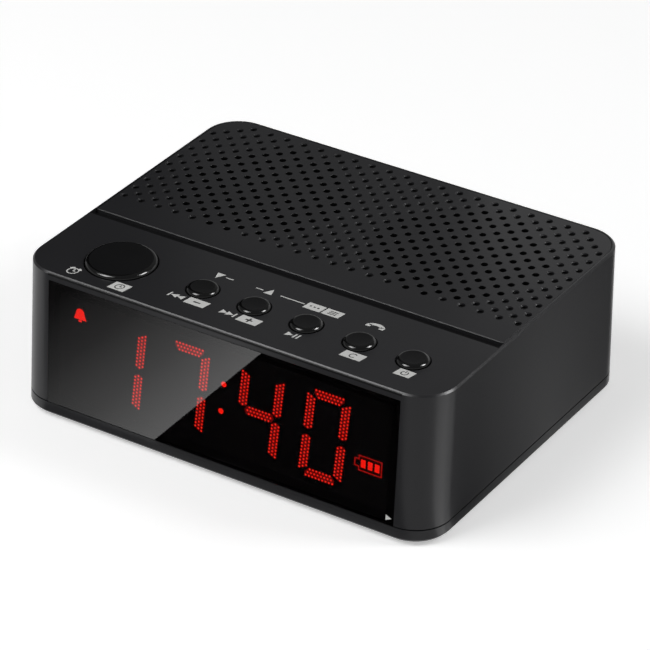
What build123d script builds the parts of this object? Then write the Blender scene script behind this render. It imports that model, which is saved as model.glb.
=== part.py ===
import os
from math import atan, cos, degrees, hypot, radians, sin, tan

from build123d import *

# Case, in millimetres: X to the right, Y to the back, Z up from the feet
case_width = 138.0  # across the deck
case_depth = 106.0  # along the deck, front edge to back
case_height = 45.4  # underside of the base to the deck
corner_radius = 11.0  # plan corners
front_lean = 0.07  # forward run of the front for each millimetre down
side_draft = 0.007  # outward run of the side walls for each millimetre down
deck_chamfer = 0.5
deck_thickness = 2.4
wall = 2.0

# Base and feet
base_height = 3.9  # visible edge of the base
base_floor = 2.2
base_chamfer = 1.0
parting_gap = 0.4  # shadow gap between base and housing
lip_height = 2.0  # spigot that locates the housing
lip_thickness = 1.2
lip_gap = 0.15
foot_height = 1.0
foot_width = 9.0
foot_inset_x = 21.0  # foot centre from the side of the case
foot_inset_y = 14.0

# Display window
lens_thickness = 1.8
lens_side_margin = 11.1  # case side to lens edge
lens_top_margin = 2.55  # deck to lens edge
lens_fit = 0.1
lens_base_gap = 0.25  # lens to base edge
lens_seat = 3.0  # width of the ledge behind the lens
seat_thickness = 1.8

# Light-emitting display
digit_height = 27.6
digit_width_share = 0.12176  # of the lens's width
digit_pitch_share = 0.18394  # within a pair
pair_pitch_share = 0.39551  # centre of the hours to centre of the minutes
digit_stroke = 2.9
digit_slant = 5.5  # degrees
digit_drop = 1.05  # digits sit below the middle of the lens
segment_gap = 0.35
segment_fit = 0.05
colon_radius = 0.9
colon_heights = (5.4, -3.2)
battery_mark_share = 0.41451  # centre across, of the lens's width
battery_mark_up = -3.8  # from the middle of the digits
battery_mark_size = (7.6, 5.0)
battery_tip_size = (1.0, 2.4)
bell_mark_share = -0.4171
bell_mark_up = 11.3
bell_mark_size = (4.2, 4.4)
reflector_depth = 6.0
reflector_gap = 0.1
reflector_margin = 0.3  # reflector to the window's edges

# Buttons on the deck
button_setback = 15.6  # front edge to button centres
button_diameter = 9.4
button_proud = 1.1
button_gap = 0.3
button_side_inset = 16.8  # case side to the last small button
snooze_diameter = 20.8
snooze_proud = 1.2
snooze_side_inset = 24.9
snooze_spacing = 27.7  # snooze button to the first small one
button_chamfer = 0.6
button_travel = 0.6
flange_gap = 0.05
flange_thickness = 1.0
flange_reach = 1.0  # beyond the cap
post_width = 4.0
post_drop = 3.6
switch_width = 6.0
switch_height = 3.5
stem_width = 3.2
stem_rise = 1.0
stem_depth = 1.2
stem_fit = 0.15

# Speaker grille
grille_setback = 36.8  # front edge of the case to the panel
grille_thickness = 2.0
grille_rim = 0.9  # case rim left round the panel
grille_fit = 0.1
grille_ledge = 4.0
grille_ledge_thickness = 2.0
grille_ledge_corner = 12.0
grille_edge_chamfer = 0.25
channel_width = 3.0
channel_depth = 1.2
hole_pitch_x = 6.0
hole_pitch_y = 5.7
hole_width = 1.6
hole_sides = 4
hole_side_margin = 1.9
hole_front_margin = 10.9
hole_back_margin = 5.8
dimple_depth = 1.1

# Speakers
speaker_share = 0.6745  # flange across, of the panel's depth
speaker_boss_gap = 0.64  # screw heads to the case bosses
speaker_flange_thickness = 1.2
speaker_flange_corner = 4.0  # cut off for the screw posts
speaker_flange_width = 3.1  # flange left beside the bore
speaker_sides = 12  # flats on round parts hidden by the grille
basket_depth = 10.0
basket_plate = 1.2
basket_taper = 4.9  # bore to the magnet's plate
basket_leg_width = 8.0
basket_leg_thickness = 2.4
magnet_inset = 1.0  # magnet inside its plate
magnet_height = 7.0
coil_radius = 5.0
coil_hole = 6.0
cone_gap = 0.3
cone_edge_drop = 1.0
cone_thickness = 0.6
cone_depth = 5.5
cap_rise = 1.2
coil_reach = 2.0  # coil into the magnet
magnet_well = 4.0
speaker_post_radius = 2.2
speaker_screw_head = 2.8

# Boards and what they carry
board_thickness = 1.6
main_board_width = 100.0
main_board_depth = 46.0
main_board_back_gap = 0.8
main_board_lift = 10.0  # above the underside of the base
standoff_radius = 2.8
standoff_inset = 3.6
display_board_margin = 2.2  # beyond the screw posts
display_post_radius = 2.0
display_post_inset = 6.0  # from the window's top and bottom
button_board_margin = 2.4
button_board_front = 5.2
button_board_back = 10.6
button_post_radius = 2.2

# Rear connectors, by their centre across the case
charge_position = -36.0
power_position = -22.0
card_position = -4.0
usb_position = 15.0
jack_position = 34.0
port_inset = 0.3  # mouth below the back face
port_clearance = 0.25
usb_size = (13.2, 14.0, 5.8)
usb_wall = 0.35
usb_insert = (2.5, 11.1, 10.5, 1.8)  # block depth, then the tongue's width, reach and thickness
charge_size = (7.6, 6.5, 2.8)
charge_wall = 0.3
charge_insert = (1.6, 3.8, 4.4, 0.6)
contact_clearance = 0.05
card_size = (14.6, 15.0, 2.0)
card_slot_size = (11.3, 12.0, 1.1)
jack_size = (6.4, 11.5, 5.2)
jack_bore = 1.8
jack_bore_depth = 12.0
jack_barrel = 2.6
power_body_size = (8.6, 4.4, 3.8)
power_slot_size = (4.6, 1.6, 2.2)
power_knob_size = (1.8, 3.4, 1.8)
power_travel = 2.2
power_fit = 0.15
microphone_radius = 2.0
microphone_depth = 2.2
chip_places = (  # across, behind the board's front edge, width, depth, height
    (-24.0, 14.0, 9.0, 9.0, 1.4),
    (2.0, 12.0, 6.0, 5.0, 1.4),
    (22.0, 14.0, 14.0, 11.0, 2.0),
)
capacitor_places = ((-6.0, 22.0), (10.0, 22.0))
capacitor_radius = 2.5
capacitor_height = 6.0

# Battery, its bay and its sliding door
battery_size = (53.0, 34.0, 5.6)
battery_clearance = 0.4
bay_wall = 1.5
bay_back_inset = 4.6  # bay to the back of the case
door_thickness = 1.8
door_step = 0.9  # thickness of the door's narrow lower half
door_tongue = 1.5
door_fit = 0.12
door_narrowing = 0.9  # lower half inside the bay's side
door_front_lap = 1.4
grip_count = 3
grip_pitch = 2.4
grip_size = (16.0, 1.0, 0.4)
terminal_size = (2.2, 3.0)
terminal_lift = 1.5  # above the door
terminal_pitch = 5.0

# Fasteners
boss_radius = 2.8
boss_side_inset = 7.0
boss_back_inset = 9.0
boss_front_inset = 12.7
peg_sides = 6  # flats on hidden posts, screws and pilots
screw_radius = 1.25
screw_clearance = 0.1
case_screw_head = 2.7
case_screw_sunk = 1.2
screw_head_height = 1.1
screw_bite = 5.0
small_screw_radius = 0.9
small_screw_head = 1.9
small_screw_bite = 3.2
speaker_screw_bite = 1.9  # pilot depth in the panel's posts
screw_end_gap = 0.6  # pilot left empty past a screw

lean_angle = degrees(atan(front_lean))
base_z = foot_height
base_top_z = base_z + base_height
housing_z = base_top_z + parting_gap
deck_z = base_z + case_height
ceiling_z = deck_z - deck_thickness
floor_z = base_z + base_floor
front_edge_y = (front_lean * (case_height - base_chamfer) - case_depth) / 2
back_y = front_edge_y + case_depth
front_wall = lens_thickness + seat_thickness
lens_low_z = base_top_z + lens_base_gap
lens_high_z = deck_z - lens_top_margin
lens_mid_z = (lens_low_z + lens_high_z) / 2
lens_height = (lens_high_z - lens_low_z) / cos(radians(lean_angle))
lens_width = case_width - 2 * lens_side_margin
window_width = lens_width - 2 * lens_seat
window_height = lens_height - 2 * lens_seat
digit_width = lens_width * digit_width_share
digit_pitch = lens_width * digit_pitch_share
pair_pitch = lens_width * pair_pitch_share
battery_mark = (lens_width * battery_mark_share, battery_mark_up)
bell_mark = (lens_width * bell_mark_share, bell_mark_up)
button_y = front_edge_y + button_setback
switch_top_z = ceiling_z - flange_gap - flange_thickness - post_drop - stem_rise
button_board_z = switch_top_z - switch_height
grille_front_y = front_edge_y + grille_setback
grille_under_z = deck_z - grille_thickness
panel_half = case_width / 2 - grille_rim - grille_fit
panel_back_y = back_y - grille_rim - grille_fit
boss_x = case_width / 2 - boss_side_inset
speaker_flange = speaker_share * (panel_back_y - grille_front_y)
speaker_bore = speaker_flange / 2 - speaker_flange_width
open_radius = speaker_bore  # grille holes go right through over each cone
basket_plate_radius = speaker_bore - basket_taper
magnet_radius = basket_plate_radius - magnet_inset
speaker_reach = speaker_flange / 2 - speaker_flange_corner / 2 + speaker_post_radius * cos(radians(45))
speaker_x = boss_x - boss_radius - speaker_boss_gap - speaker_screw_head - speaker_reach
main_board_z = base_z + main_board_lift
main_board_top_z = main_board_z + board_thickness
door_top_z = base_z + door_thickness
pilot_radius = small_screw_radius + screw_clearance
bay_half = battery_size[0] / 2 + battery_clearance
bay_back_y = back_y - bay_back_inset
bay_front_y = bay_back_y - battery_size[1] - 2 * battery_clearance
bay_roof_z = door_top_z + battery_size[2] + battery_clearance

small_buttons = ("previous", "next", "play", "call", "mode")
snooze_position = snooze_side_inset - case_width / 2
button_first = snooze_position + snooze_spacing
button_pitch = (case_width / 2 - button_side_inset - button_first) / (len(small_buttons) - 1)
button_centres = {"snooze": snooze_position}
for index, name in enumerate(small_buttons):
    button_centres[name] = button_first + index * button_pitch

# Local frame of the leaning front: across, up the front and out of it, from the lens's middle
front_y = front_edge_y - front_lean * (deck_z - lens_mid_z)
front_plane = Plane(
    origin=(0, front_y, lens_mid_z),
    x_dir=(1, 0, 0),
    z_dir=(0, -cos(radians(lean_angle)), sin(radians(lean_angle))),
)


def block(low, high):
    """Box between two corners."""
    size = [b - a for a, b in zip(low, high)]
    return Pos(*low) * Box(*size, align=(Align.MIN, Align.MIN, Align.MIN))


def disc(radius, low, high, x=0, y=0):
    """Upright cylinder between two heights."""
    return Pos(x, y, low) * Cylinder(radius, high - low, align=(Align.CENTER, Align.CENTER, Align.MIN))


def front_box(width, low, high, shallow, deep, across=0):
    """Box in the leaning front, between two depths behind its face."""
    centre = Pos(across, (low + high) / 2, -(shallow + deep) / 2)
    return front_plane.location * centre * Box(width, high - low, deep - shallow)


def peg(radius, low, high, x=0, y=0):
    """Upright post, screw or pilot inside the case, with six flats."""
    return Pos(x, y, low) * extrude(RegularPolygon(radius, peg_sides), high - low)


def front_peg(radius, across, up, shallow, deep):
    """Post or pilot square to the leaning front."""
    return front_plane.location * peg(radius, -deep, -shallow, across, up)


def case_block(low, high, inset=0.0, front_inset=0.0):
    """Solid with the leaning, drafted walls and round corners of the case, drawn in from its faces."""
    ends = [(low, deck_z - low), (high, deck_z - high)]
    fronts = [(front_edge_y - front_lean * drop + front_inset, z) for z, drop in ends]
    side_view = Polygon(*fronts, (back_y - inset, high), (back_y - inset, low), align=None)
    halves = [(case_width / 2 + side_draft * drop - inset, z) for z, drop in ends]
    front_view = Polygon(*halves, *[(-half, z) for half, z in reversed(halves)], align=None)
    solid = extrude(Plane.YZ * side_view, case_width, both=True)
    solid &= extrude(Plane.XZ * front_view, case_depth, both=True)
    ends = solid.faces().sort_by(Axis.Z)
    level = ends[0].edges() + ends[-1].edges()
    return fillet([edge for edge in solid.edges() if edge not in level], corner_radius - inset)


def panel_plan(grow=0.0):
    """Plan of the grille panel: square front corners, round back corners."""
    half = panel_half + grow
    front = grille_front_y - grow
    back = panel_back_y + grow
    plan = Pos(0, (front + back) / 2) * Rectangle(2 * half, back - front)
    rear_corners = plan.vertices().sort_by(Axis.Y)[-2:]
    return fillet(rear_corners, corner_radius - grille_rim - grille_fit + grow)


def ledge_opening():
    """Opening in the ledge that carries the grille panel."""
    low = grille_front_y + grille_ledge
    high = panel_back_y - grille_ledge
    width = 2 * (panel_half - grille_ledge)
    return Pos(0, (low + high) / 2) * RectangleRounded(width, high - low, grille_ledge_corner)


def boss_centres():
    """Centres of the four case screws."""
    rows = (front_edge_y + boss_front_inset, back_y - boss_back_inset)
    return [(x, y) for y in rows for x in (-boss_x, boss_x)]


def button_post_centres():
    """Screw posts of the button board, between the buttons."""
    between = (snooze_position + snooze_diameter / 2 + button_first - button_diameter / 2) / 2
    return [
        (between, button_y),
        (button_centres["next"] + button_pitch / 2, button_y),
        (button_centres["call"] + button_pitch / 2, button_y),
    ]


def display_post_centres():
    """Screw posts of the display board, beside the window, in the front's own frame."""
    across = window_width / 2 + display_post_radius + reflector_margin
    up = window_height / 2 - display_post_inset
    return [(x, y) for x in (-across, across) for y in (-up, up)]


def hole_centres():
    """Grille holes: a centred lattice, kept inside the round back corners."""
    span = panel_half - hole_side_margin
    columns = int(span / (hole_pitch_x / 2))
    first = grille_front_y + hole_front_margin
    rows = int((panel_back_y - hole_back_margin - first) / (hole_pitch_y / 2))
    radius = corner_radius - grille_rim - grille_fit
    centres = []
    for row in range(rows + 1):
        y = first + row * hole_pitch_y / 2
        for column in range(-columns, columns + 1):
            x = column * hole_pitch_x / 2
            past_x = abs(x) - (panel_half - radius)
            past_y = y - (panel_back_y - radius)
            in_corner = past_x > 0 and past_y > 0
            if (column + columns + row) % 2:
                continue
            if in_corner and hypot(past_x, past_y) > radius - hole_side_margin:
                continue
            centres.append((x, y))
    return centres


holes = hole_centres()
hole_rows = [y for _, y in holes]
speaker_y = (min(hole_rows) + max(hole_rows)) / 2
speakers = {"left": (-speaker_x, speaker_y), "right": (speaker_x, speaker_y)}


def speaker_post_centres():
    """Screw posts at the corners of both speaker flanges."""
    steps = [(sx * speaker_reach, sy * speaker_reach) for sx in (-1, 1) for sy in (-1, 1)]
    return [(x + dx, y + dy) for x, y in speakers.values() for dx, dy in steps]


def standoff_centres():
    """Posts under the corners of the main board."""
    side = main_board_width / 2 - standoff_inset
    back = back_y - wall - main_board_back_gap
    rows = (back - main_board_depth + standoff_inset, back - standoff_inset)
    return [(x, y) for y in rows for x in (-side, side)]


def rear_box(centre, size, grow=0.0):
    """Connector envelope on the main board, its mouth just inside the back face."""
    width, depth, height = size
    mouth = back_y - port_inset
    low = (centre - width / 2 - grow, mouth - depth, main_board_top_z - grow)
    return block(low, (centre + width / 2 + grow, mouth, main_board_top_z + height + grow))


def top_housing():
    """Five-sided shell with the control deck, the grille seat and the display window."""
    shell = case_block(housing_z, deck_z)
    shell = chamfer(shell.faces().sort_by(Axis.Z)[-1].edges(), deck_chamfer)
    shell -= case_block(housing_z - wall, ceiling_z, wall, front_wall)

    ledge_plan = panel_plan(grille_fit + grille_rim / 2)
    ledge_low = grille_under_z - grille_ledge_thickness
    shell += Pos(0, 0, ledge_low) * extrude(ledge_plan, grille_ledge_thickness)
    shell -= Pos(0, 0, ledge_low) * extrude(ledge_opening(), case_height)
    shell -= Pos(0, 0, grille_under_z) * extrude(panel_plan(grille_fit), case_height)
    channel_half = panel_half + grille_fit
    channel_low = (-channel_half, grille_front_y - channel_width, deck_z - channel_depth)
    shell -= block(channel_low, (channel_half, grille_front_y, deck_z + channel_depth))

    half_lens = lens_height / 2
    shell -= front_box(lens_width + 2 * lens_fit, -lens_height, half_lens + lens_fit, -wall, lens_thickness)
    shell -= front_box(window_width, -window_height / 2, window_height / 2, 0, 2 * front_wall)
    for across, up in display_post_centres():
        depth = lens_thickness + reflector_gap + reflector_depth
        shell += front_peg(display_post_radius, across, up, lens_thickness, depth)
        shell -= front_peg(pilot_radius, across, up, depth - small_screw_bite, depth)

    for name, x in button_centres.items():
        diameter = snooze_diameter if name == "snooze" else button_diameter
        shell -= disc(diameter / 2 + button_gap, ceiling_z - wall, deck_z + wall, x, button_y)
    for x, y in button_post_centres():
        post = peg(button_post_radius, button_board_z, ceiling_z, x, y)
        shell += post - peg(pilot_radius, button_board_z, ceiling_z, x, y)
    for x, y in boss_centres():
        roof_z = ceiling_z if y < grille_front_y else ledge_low
        boss = peg(boss_radius, floor_z, roof_z, x, y)
        shell += boss - peg(screw_radius + screw_clearance, floor_z, floor_z + 2 * screw_bite, x, y)

    for centre, size in (
        (usb_position, usb_size),
        (charge_position, charge_size),
        (card_position, card_size),
    ):
        shell -= Pos(0, wall, 0) * rear_box(centre, size, port_clearance)
    jack_z = main_board_top_z + jack_size[2] / 2
    jack_hole = Rot(90, 0, 0) * Cylinder(jack_barrel + port_clearance, 4 * wall)
    shell -= Pos(jack_position, back_y, jack_z) * jack_hole
    slot_z = main_board_top_z + power_body_size[2] / 2
    slot_half = power_slot_size[0] / 2
    slot_rise = power_slot_size[2] / 2
    shell -= block(
        (power_position - slot_half, back_y - 2 * wall, slot_z - slot_rise),
        (power_position + slot_half, back_y + wall, slot_z + slot_rise),
    )
    return shell


def speaker_grille():
    """Panel with holes right through over the speakers and drill-point dimples elsewhere."""
    panel = Pos(0, 0, grille_under_z) * extrude(panel_plan(), grille_thickness)
    panel = chamfer(panel.faces().sort_by(Axis.Z)[-1].edges(), grille_edge_chamfer)
    post_low = grille_under_z - speaker_flange_thickness
    for x, y in speaker_post_centres():
        panel += peg(speaker_post_radius, post_low, grille_under_z, x, y)
        panel -= peg(pilot_radius, post_low, post_low + speaker_screw_bite, x, y)
    mouth = RegularPolygon(hole_width / 2, hole_sides)
    through = Pos(0, 0, grille_under_z) * extrude(mouth, grille_thickness)
    dimple = loft([Pos(0, 0, deck_z) * mouth.face(), Vertex(0, 0, deck_z - dimple_depth)])
    tools = []
    for x, y in holes:
        over_speaker = any(hypot(x - sx, y - sy) < open_radius for sx, sy in speakers.values())
        tools.append(Pos(x, y, 0) * (through if over_speaker else dimple))
    return panel - tools


def display_lens():
    """Smoked window, flush with the leaning front."""
    return front_box(lens_width, -lens_height / 2, lens_height / 2, 0, lens_thickness)


def bar(length, grow):
    """Pointed bar of one display segment, lying along X."""
    half = length / 2 - segment_gap + grow
    thick = digit_stroke / 2 + grow
    flat = half - thick
    return [(-half, 0), (-flat, thick), (flat, thick), (half, 0), (flat, -thick), (-flat, -thick)]


def segment_outlines(grow=0.0):
    """Corner lists of the seven segments of each of the four digits, slanted."""
    upright = digit_height - digit_stroke
    across = digit_width - digit_stroke
    places = [(0, upright / 2, 0), (0, 0, 0), (0, -upright / 2, 0)]
    places += [(sx * across / 2, sy * upright / 4, 1) for sx in (-1, 1) for sy in (-1, 1)]
    slope = tan(radians(digit_slant))
    outlines = []
    for pair in (-pair_pitch / 2, pair_pitch / 2):
        for digit in (-digit_pitch / 2, digit_pitch / 2):
            for x, y, turned in places:
                points = bar(upright / 2 if turned else across, grow)
                points = [(v, u) if turned else (u, v) for u, v in points]
                left = pair + digit + x
                outlines.append([(left + u + (y + v) * slope, y + v - digit_drop) for u, v in points])
    return outlines


def display_inlay(plan, depth=reflector_depth):
    """Solid sunk into the display from the back of the lens."""
    start = Pos(0, 0, -lens_thickness - reflector_gap)
    return front_plane.location * start * extrude(plan, depth, dir=(0, 0, -1))


def digit_segments():
    """Light pipes of all four digits."""
    return Compound([display_inlay(Polygon(*points, align=None)).solid() for points in segment_outlines()])


def colon_plans(grow=0.0):
    """Two dots between the hours and the minutes."""
    slope = tan(radians(digit_slant))
    dot = RegularPolygon(colon_radius + grow, peg_sides)
    return [Pos(up * slope, up - digit_drop) * dot for up in colon_heights]


def mark_plans(grow=0.0):
    """Battery and bell marks."""
    x, y = battery_mark
    width, height = battery_mark_size
    tip_width, tip_height = battery_tip_size
    battery = Pos(x, y - digit_drop) * Rectangle(width + 2 * grow, height + 2 * grow)
    tip_x = x - width / 2 - tip_width / 2
    battery += Pos(tip_x, y - digit_drop) * Rectangle(tip_width + 2 * grow, tip_height + 2 * grow)
    bell_x, bell_y = bell_mark
    bell_width, bell_height = bell_mark_size
    low = bell_y - digit_drop - bell_height / 2 - grow
    high = low + bell_height + 2 * grow
    foot = bell_width / 2 + grow
    head = bell_width / 4 + grow
    corners = [(bell_x - foot, low), (bell_x + foot, low), (bell_x + head, high), (bell_x - head, high)]
    bell = Polygon(*corners, align=None)
    return [battery, bell]


def display_reflector():
    """Black block with a window for every segment and mark."""
    width = window_width - 2 * reflector_margin
    half = window_height / 2 - reflector_margin
    shallow = lens_thickness + reflector_gap
    reflector = front_box(width, -half, half, shallow, shallow + reflector_depth)
    plans = [Polygon(*points, align=None) for points in segment_outlines(segment_fit)]
    plans += colon_plans(segment_fit) + mark_plans(segment_fit)
    return reflector - [display_inlay(plan) for plan in plans]


def display_board():
    """Circuit board behind the reflector."""
    posts = display_post_centres()
    half = max(across for across, _ in posts) + display_board_margin
    rise = window_height / 2 - reflector_margin
    front = lens_thickness + reflector_gap + reflector_depth
    board = front_box(2 * half, -rise, rise, front, front + board_thickness)
    return board - [front_peg(pilot_radius, x, y, 0, 2 * front) for x, y in posts]


def button_board():
    """Circuit board under the deck that carries the six switches."""
    left = button_centres["snooze"] - switch_width / 2 - button_board_margin
    right = button_centres["mode"] + switch_width / 2 + button_board_margin
    low = (left, button_y - button_board_front, button_board_z - board_thickness)
    board = block(low, (right, button_y + button_board_back, button_board_z))
    return board - [peg(pilot_radius, low[2], button_board_z, x, y) for x, y in button_post_centres()]


def switch_bodies():
    """Six momentary switches, each with a square well for its stem."""
    bodies = []
    half = switch_width / 2
    well = stem_width / 2 + stem_fit
    for x in button_centres.values():
        body = block((x - half, button_y - half, button_board_z), (x + half, button_y + half, switch_top_z))
        low = switch_top_z - stem_depth - 2 * button_travel
        body -= block((x - well, button_y - well, low), (x + well, button_y + well, switch_top_z))
        bodies.append(body.solid())
    return Compound(bodies)


def button(x, diameter, proud):
    """Cap with a chamfered rim, a square retaining flange and a post down to its switch."""
    cap = disc(diameter / 2, ceiling_z - flange_gap, deck_z + proud)
    cap = chamfer(cap.faces().sort_by(Axis.Z)[-1].edges(), button_chamfer)
    half = diameter / 2 + flange_reach
    flange_low = ceiling_z - flange_gap - flange_thickness
    cap += block((-half, -half, flange_low), (half, half, ceiling_z - flange_gap))
    post = post_width / 2
    cap += block((-post, -post, flange_low - post_drop), (post, post, flange_low))
    return Pos(x, button_y, 0) * cap


def plunger(x):
    """Square switch stem that the button's post presses."""
    half = stem_width / 2
    low = switch_top_z - stem_depth
    return block((x - half, button_y - half, low), (x + half, button_y + half, switch_top_z + stem_rise))


def round_slab(radius, low, high):
    """Speaker part seen only from inside, with few flats."""
    return Pos(0, 0, low) * extrude(RegularPolygon(radius, speaker_sides), high - low)


def frustum(low_radius, high_radius, low, high):
    """Tapered speaker part with the same few flats."""
    turns = [radians(360 * side / speaker_sides) for side in range(speaker_sides)]
    bottom = [(low_radius * cos(turn), low_radius * sin(turn), low) for turn in turns]
    top = [(high_radius * cos(turn), high_radius * sin(turn), high) for turn in turns]
    faces = [Face(Wire.make_polygon(ring)) for ring in (bottom, top)]
    for side in range(speaker_sides):
        corners = [bottom[side - 1], bottom[side], top[side], top[side - 1]]
        faces.append(Face(Wire.make_polygon(corners)))
    return Solid(Shell(faces))


def speaker_frame(x, y):
    """Square flange, four sloping legs and the plate that holds the magnet."""
    plan = Rectangle(speaker_flange, speaker_flange)
    plan = chamfer(plan.vertices(), speaker_flange_corner)
    flange = extrude(plan, -speaker_flange_thickness)
    flange -= round_slab(speaker_bore, -speaker_flange_thickness, 0)
    outer = speaker_flange / 2
    inner = basket_plate_radius
    leg_plan = Polygon(
        (outer - basket_leg_thickness, -speaker_flange_thickness),
        (outer, -speaker_flange_thickness),
        (inner, -basket_depth),
        (inner - basket_leg_thickness, -basket_depth),
        align=None,
    )
    leg = extrude(Plane.XZ * leg_plan, basket_leg_width / 2, both=True)
    plate_low = -basket_depth - basket_plate
    plate = round_slab(basket_plate_radius, plate_low, -basket_depth)
    frame = flange + plate - round_slab(coil_hole, plate_low, -basket_depth)
    for turn in range(4):
        frame += Rot(0, 0, 90 * turn) * leg
    return Pos(x, y, grille_under_z) * frame


def speaker_magnet(x, y):
    """Ferrite magnet with a well for the voice coil."""
    top = -basket_depth - basket_plate
    magnet = round_slab(magnet_radius, top - magnet_height, top)
    magnet -= round_slab(coil_hole, top - magnet_well, top)
    return Pos(x, y, grille_under_z) * magnet


def speaker_cone(x, y):
    """Paper cone with its dust cap and voice coil."""
    low = -cone_edge_drop - cone_depth
    skirt = frustum(coil_radius, speaker_bore - cone_gap, low, -cone_edge_drop)
    cone = Pos(0, 0, -cone_thickness) * skirt - skirt
    cap = frustum(coil_radius, coil_radius / 2, low, low + cap_rise)
    cone += Pos(0, 0, -cone_thickness) * cap
    foot = -basket_depth - basket_plate - coil_reach
    cone += round_slab(coil_radius, foot, low - cone_thickness)
    return Pos(x, y, grille_under_z) * cone


def bay_box(grow, low, high):
    """Battery bay, widened all round."""
    corner = (-bay_half - grow, bay_front_y - grow, low)
    return block(corner, (bay_half + grow, bay_back_y + grow, high))


def door_shape(grow):
    """Stepped section of the battery door, open to the back."""
    lower = bay_half - door_narrowing
    upper = lower + door_tongue
    front = bay_front_y - door_front_lap
    step_z = base_z + door_step
    low = block((-lower - grow, front - grow, base_z), (lower + grow, back_y, step_z))
    high = block((-upper - grow, front - grow, step_z - grow), (upper + grow, back_y, door_top_z + grow))
    return low + high


def base_plate():
    """Floor of the case with its rim, locating lip, battery bay and board posts."""
    base = case_block(base_z, base_top_z)
    base = chamfer(base.faces().sort_by(Axis.Z)[0].edges(), base_chamfer)
    base -= case_block(floor_z, base_top_z + wall, wall, wall)
    lip_low = floor_z - lip_thickness
    lip_top = base_top_z + lip_height
    lip = case_block(lip_low, lip_top, wall + lip_gap, front_wall + lip_gap)
    inside = lip_gap + lip_thickness
    base += lip - case_block(lip_low, lip_top, wall + inside, front_wall + inside)
    base += bay_box(bay_wall, floor_z - lip_thickness, bay_roof_z + bay_wall)
    base -= bay_box(0, door_top_z, bay_roof_z)
    base -= door_shape(door_fit)
    width, height = terminal_size
    for x, y in terminal_corners():
        low = (x, y - bay_wall, door_top_z + terminal_lift)
        base -= block(low, (x + width, y, door_top_z + terminal_lift + height))
    for x, y in standoff_centres():
        post = peg(standoff_radius, floor_z, main_board_z, x, y)
        base += post - peg(pilot_radius, main_board_z - small_screw_bite, main_board_z, x, y)
    for x, y in boss_centres():
        base -= peg(screw_radius + screw_clearance, base_z, floor_z, x, y)
        base -= peg(case_screw_head + screw_clearance, base_z, base_z + case_screw_sunk, x, y)
    return base


def terminal_corners():
    """Low corners of the three battery terminals, in the bay's front wall."""
    width = terminal_size[0]
    return [(step * terminal_pitch - width / 2, bay_front_y) for step in (-1, 0, 1)]


def battery_terminals():
    """Spring contacts standing through the bay's front wall."""
    width, height = terminal_size
    reach = battery_clearance - contact_clearance
    low = door_top_z + terminal_lift
    pins = []
    for x, y in terminal_corners():
        pins.append(block((x, y - bay_wall, low), (x + width, y + reach, low + height)).solid())
    return Compound(pins)


def battery():
    """Flat rechargeable cell lying on the door."""
    width, depth, height = battery_size
    front = bay_front_y + battery_clearance
    return block((-width / 2, front, door_top_z), (width / 2, front + depth, door_top_z + height))


def battery_door():
    """Door that slides out at the back, with finger grips."""
    door = door_shape(0)
    rear_edge = door.faces().sort_by(Axis.Y)[-1].edges().sort_by(Axis.Z)[0]
    door = chamfer(rear_edge, door_step / 2)
    width, depth, height = grip_size
    for step in range(grip_count):
        y = back_y - (step + 2) * grip_pitch
        door -= block((-width / 2, y, base_z), (width / 2, y + depth, base_z + height))
    return door


def foot_centres():
    """Centres of the four feet."""
    side = case_width / 2 - foot_inset_x
    return [(x, y) for x in (-side, side) for y in (front_edge_y + foot_inset_y, back_y - foot_inset_y)]


def rubber_feet():
    """Four square pads stuck under the base."""
    half = foot_width / 2
    pad = block((-half, -half, 0), (half, half, base_z))
    return Compound([(Pos(x, y, 0) * pad).solid() for x, y in foot_centres()])


def main_board():
    """Circuit board over the battery bay."""
    back = back_y - wall - main_board_back_gap
    half = main_board_width / 2
    board = block((-half, back - main_board_depth, main_board_z), (half, back, main_board_top_z))
    return board - [peg(pilot_radius, main_board_z, main_board_top_z, x, y) for x, y in standoff_centres()]


def board_chips():
    """Processor, amplifier, radio and two capacitors on the main board."""
    front = back_y - wall - main_board_back_gap - main_board_depth
    chips = []
    for x, y, width, depth, height in chip_places:
        low = (x - width / 2, front + y - depth / 2, main_board_top_z)
        chips.append(block(low, (x + width / 2, front + y + depth / 2, main_board_top_z + height)).solid())
    for x, y in capacitor_places:
        top = main_board_top_z + capacitor_height
        chips.append(peg(capacitor_radius, main_board_top_z, top, x, front + y).solid())
    return Compound(chips)


def shell_port(centre, size, thickness):
    """Pressed-steel connector shell, open at the back of the case."""
    width, depth, height = size
    mouth = back_y - port_inset
    inner_low = (centre - width / 2 + thickness, mouth - depth + thickness, main_board_top_z + thickness)
    inner_high = (centre + width / 2 - thickness, mouth, main_board_top_z + height - thickness)
    return rear_box(centre, size) - block(inner_low, inner_high)


def port_tongue(centre, size, thickness, insert_size):
    """Plastic insert with the contact tongue of a connector."""
    width, depth, height = size
    inset = thickness + contact_clearance
    rear = back_y - port_inset - depth + inset
    middle = main_board_top_z + height / 2
    back, across, reach, rise = insert_size
    low = (centre - width / 2 + inset, rear, main_board_top_z + inset)
    insert = block(low, (centre + width / 2 - inset, rear + back, main_board_top_z + height - inset))
    half = across / 2
    return insert + block((centre - half, rear, middle), (centre + half, rear + reach, middle + rise))


def card_slot():
    """Low card reader with its slot."""
    width, depth, height = card_slot_size
    mouth = back_y - port_inset
    middle = main_board_top_z + card_size[2] / 2
    slot = block(
        (card_position - width / 2, mouth - depth, middle - height / 2),
        (card_position + width / 2, mouth, middle + height / 2),
    )
    return rear_box(card_position, card_size) - slot


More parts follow.
